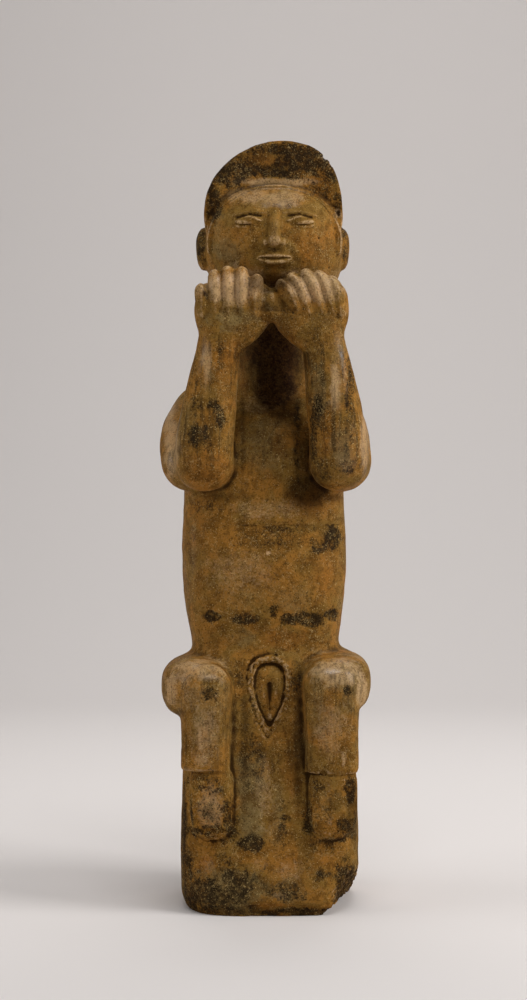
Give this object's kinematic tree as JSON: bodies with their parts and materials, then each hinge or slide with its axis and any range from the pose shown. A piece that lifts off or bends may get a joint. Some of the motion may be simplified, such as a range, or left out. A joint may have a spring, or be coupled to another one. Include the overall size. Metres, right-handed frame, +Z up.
{
  "type": "stone nude sculpture",
  "caption": "Upright stone carving of a nude seated figure with raised hands, a rounded headdress and bent legs on a squared block; it stands on its flat base.",
  "frame": {"origin": "on the underside, under the middle of the figure's bounding box", "axes": "+Z up; the figure faces -Y; +X to the right of someone who looks at its front"},
  "size_m": [0.2006, 0.1748, 0.7199],
  "materials": {
    "stone": "worn ochre-brown stone with a dark patina, semi-gloss where it is rubbed and rough on the feet and the block"
  },
  "bodies": {
    "root": {"stone_figure": "stone"}
  },
  "joints": []
}
